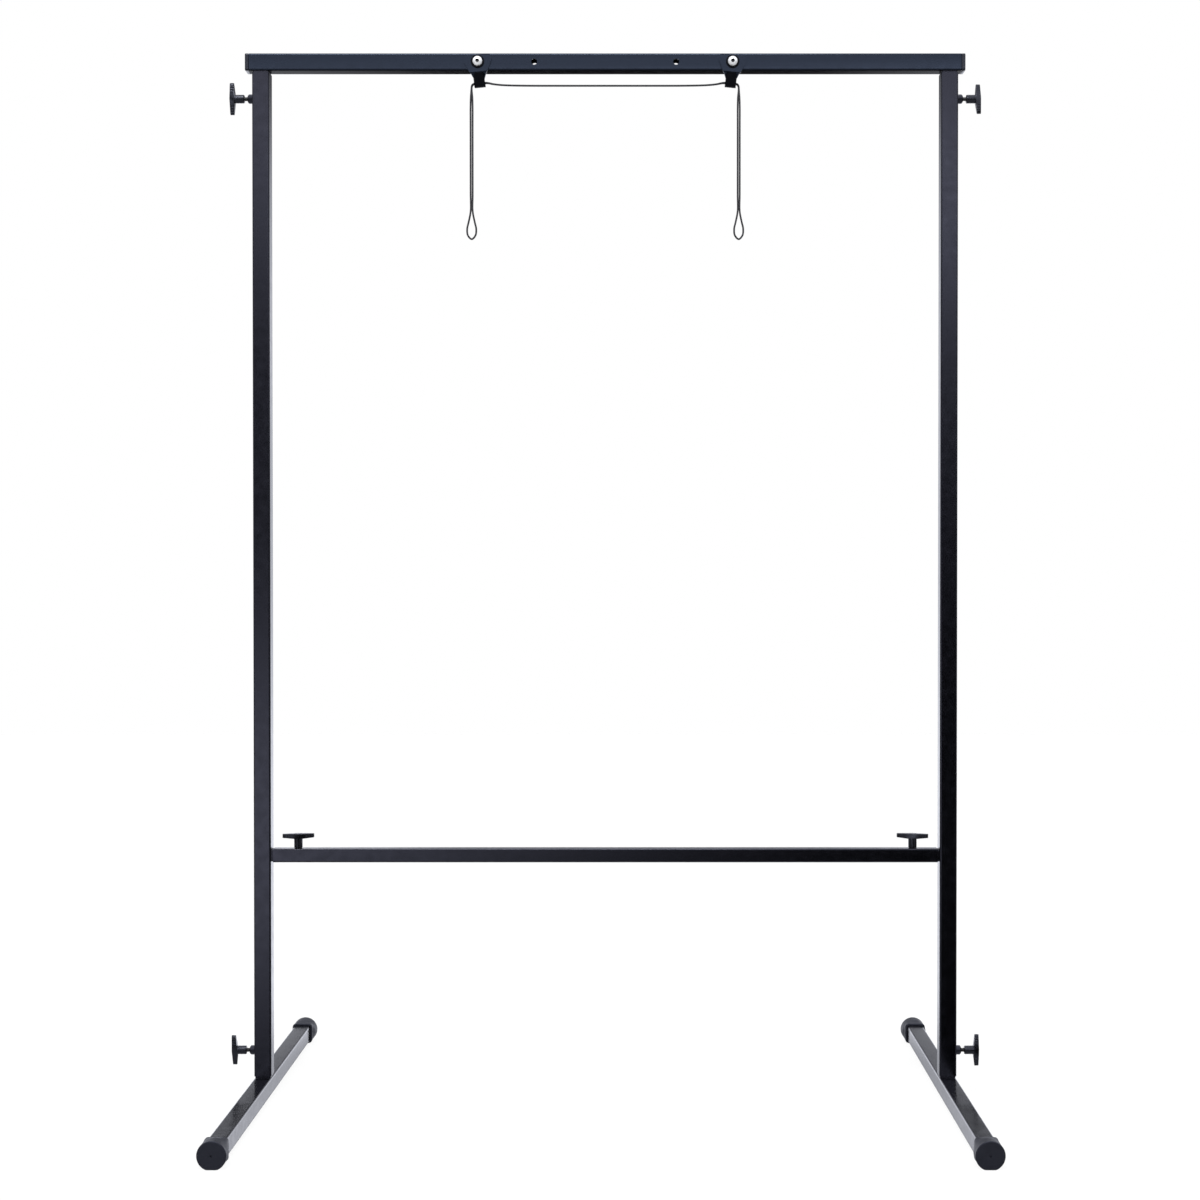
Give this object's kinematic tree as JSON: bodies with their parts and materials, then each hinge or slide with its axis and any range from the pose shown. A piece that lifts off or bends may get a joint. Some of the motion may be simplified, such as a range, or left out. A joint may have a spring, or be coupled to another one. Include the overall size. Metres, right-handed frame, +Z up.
{
  "type": "gong stand",
  "caption": "Free-standing frame of square steel tube that hangs a gong by a cord from hooks under its top bar; top bar and feet pull off once their clamp knobs are loosened.",
  "frame": {"origin": "on the floor, midway between the posts and midway between the foot ends", "axes": "+X to the right as seen from the front, +Y to the rear, +Z up"},
  "size_m": [1.0878, 0.734, 1.514],
  "materials": {
    "powder_coat": "satin black powder coat",
    "rubber": "matte moulded",
    "black_plastic": "satin moulded",
    "black_steel": "blackened zinc",
    "bright_steel": "bright zinc",
    "cord": "braided, slightly glossy"
  },
  "bodies": {
    "frame": {"left_post": "powder_coat", "right_post": "powder_coat", "lower_bar": "powder_coat", "left_bar_stub": "powder_coat", "right_bar_stub": "powder_coat", "left_upper_boss": "powder_coat", "left_lower_boss": "powder_coat", "right_upper_boss": "powder_coat", "right_lower_boss": "powder_coat", "left_stub_nut": "black_steel", "right_stub_nut": "black_steel"},
    "crossbar": {"top_bar": "powder_coat", "left_top_spigot": "powder_coat", "right_top_spigot": "powder_coat", "left_end_plug": "black_plastic", "right_end_plug": "black_plastic", "left_hook_bracket": "powder_coat", "right_hook_bracket": "powder_coat", "left_hook_sleeve": "rubber", "right_hook_sleeve": "rubber", "left_hook_bolt": "bright_steel", "right_hook_bolt": "bright_steel", "left_bolt_washer": "black_plastic", "right_bolt_washer": "black_plastic", "left_hook_nut": "bright_steel", "right_hook_nut": "bright_steel", "cord_left_loop": "cord", "cord_right_loop": "cord", "cord_front_span": "cord", "cord_rear_span": "cord"},
    "left_foot": {"left_foot_tube": "powder_coat", "left_foot_spigot": "powder_coat", "left_front_cap": "rubber", "left_rear_cap": "rubber"},
    "right_foot": {"right_foot_tube": "powder_coat", "right_foot_spigot": "powder_coat", "right_front_cap": "rubber", "right_rear_cap": "rubber"},
    "left_upper_screw_body": {"left_upper_screw": "black_steel"},
    "left_upper_knob_body": {"left_upper_knob": "black_plastic"},
    "left_lower_screw_body": {"left_lower_screw": "black_steel"},
    "left_lower_knob_body": {"left_lower_knob": "black_plastic"},
    "right_upper_screw_body": {"right_upper_screw": "black_steel"},
    "right_upper_knob_body": {"right_upper_knob": "black_plastic"},
    "right_lower_screw_body": {"right_lower_screw": "black_steel"},
    "right_lower_knob_body": {"right_lower_knob": "black_plastic"},
    "left_bar_screw_body": {"left_bar_screw": "black_steel"},
    "left_bar_knob_body": {"left_bar_knob": "black_plastic"},
    "right_bar_screw_body": {"right_bar_screw": "black_steel"},
    "right_bar_knob_body": {"right_bar_knob": "black_plastic"}
  },
  "joints": [
    {"name": "crossbar_lift", "type": "slide", "parent": "frame", "child": "crossbar", "axis": [0, 0, 1], "range_m": [0, 0.065]},
    {"name": "left_foot_pull", "type": "slide", "parent": "frame", "child": "left_foot", "axis": [0, 0, -1], "range_m": [0, 0.065]},
    {"name": "right_foot_pull", "type": "slide", "parent": "frame", "child": "right_foot", "axis": [0, 0, -1], "range_m": [0, 0.065]},
    {"name": "left_upper_screw_travel", "type": "slide", "parent": "frame", "child": "left_upper_screw_body", "axis": [-1, 0, 0], "range_m": [0, 0.0021]},
    {"name": "left_upper_knob_turn", "type": "hinge", "parent": "left_upper_screw_body", "child": "left_upper_knob_body", "pos_m": [-0.51, 0, 1.4505], "axis": [-1, 0, 0], "range_deg": [0, 720]},
    {"name": "left_lower_screw_travel", "type": "slide", "parent": "frame", "child": "left_lower_screw_body", "axis": [-1, 0, 0], "range_m": [0, 0.0021]},
    {"name": "left_lower_knob_turn", "type": "hinge", "parent": "left_lower_screw_body", "child": "left_lower_knob_body", "pos_m": [-0.51, 0, 0.0687], "axis": [-1, 0, 0], "range_deg": [0, 720]},
    {"name": "right_upper_screw_travel", "type": "slide", "parent": "frame", "child": "right_upper_screw_body", "axis": [1, 0, 0], "range_m": [0, 0.0021]},
    {"name": "right_upper_knob_turn", "type": "hinge", "parent": "right_upper_screw_body", "child": "right_upper_knob_body", "pos_m": [0.51, 0, 1.4505], "axis": [1, 0, 0], "range_deg": [0, 720]},
    {"name": "right_lower_screw_travel", "type": "slide", "parent": "frame", "child": "right_lower_screw_body", "axis": [1, 0, 0], "range_m": [0, 0.0021]},
    {"name": "right_lower_knob_turn", "type": "hinge", "parent": "right_lower_screw_body", "child": "right_lower_knob_body", "pos_m": [0.51, 0, 0.0687], "axis": [1, 0, 0], "range_deg": [0, 720]},
    {"name": "left_bar_screw_travel", "type": "slide", "parent": "frame", "child": "left_bar_screw_body", "axis": [0, 0, 1], "range_m": [0, 0.0021]},
    {"name": "left_bar_knob_turn", "type": "hinge", "parent": "left_bar_screw_body", "child": "left_bar_knob_body", "pos_m": [-0.447, 0, 0.3636], "axis": [0, 0, 1], "range_deg": [0, 720]},
    {"name": "right_bar_screw_travel", "type": "slide", "parent": "frame", "child": "right_bar_screw_body", "axis": [0, 0, 1], "range_m": [0, 0.0021]},
    {"name": "right_bar_knob_turn", "type": "hinge", "parent": "right_bar_screw_body", "child": "right_bar_knob_body", "pos_m": [0.447, 0, 0.3636], "axis": [0, 0, 1], "range_deg": [0, 720]}
  ],
  "couplings": [
    {"joint": "left_upper_screw_travel", "follows": "left_upper_knob_turn", "m_per_rad": 0.00015915},
    {"joint": "left_lower_screw_travel", "follows": "left_lower_knob_turn", "m_per_rad": 0.00015915},
    {"joint": "right_upper_screw_travel", "follows": "right_upper_knob_turn", "m_per_rad": 0.00015915},
    {"joint": "right_lower_screw_travel", "follows": "right_lower_knob_turn", "m_per_rad": 0.00015915},
    {"joint": "left_bar_screw_travel", "follows": "left_bar_knob_turn", "m_per_rad": 0.00015915},
    {"joint": "right_bar_screw_travel", "follows": "right_bar_knob_turn", "m_per_rad": 0.00015915}
  ]
}
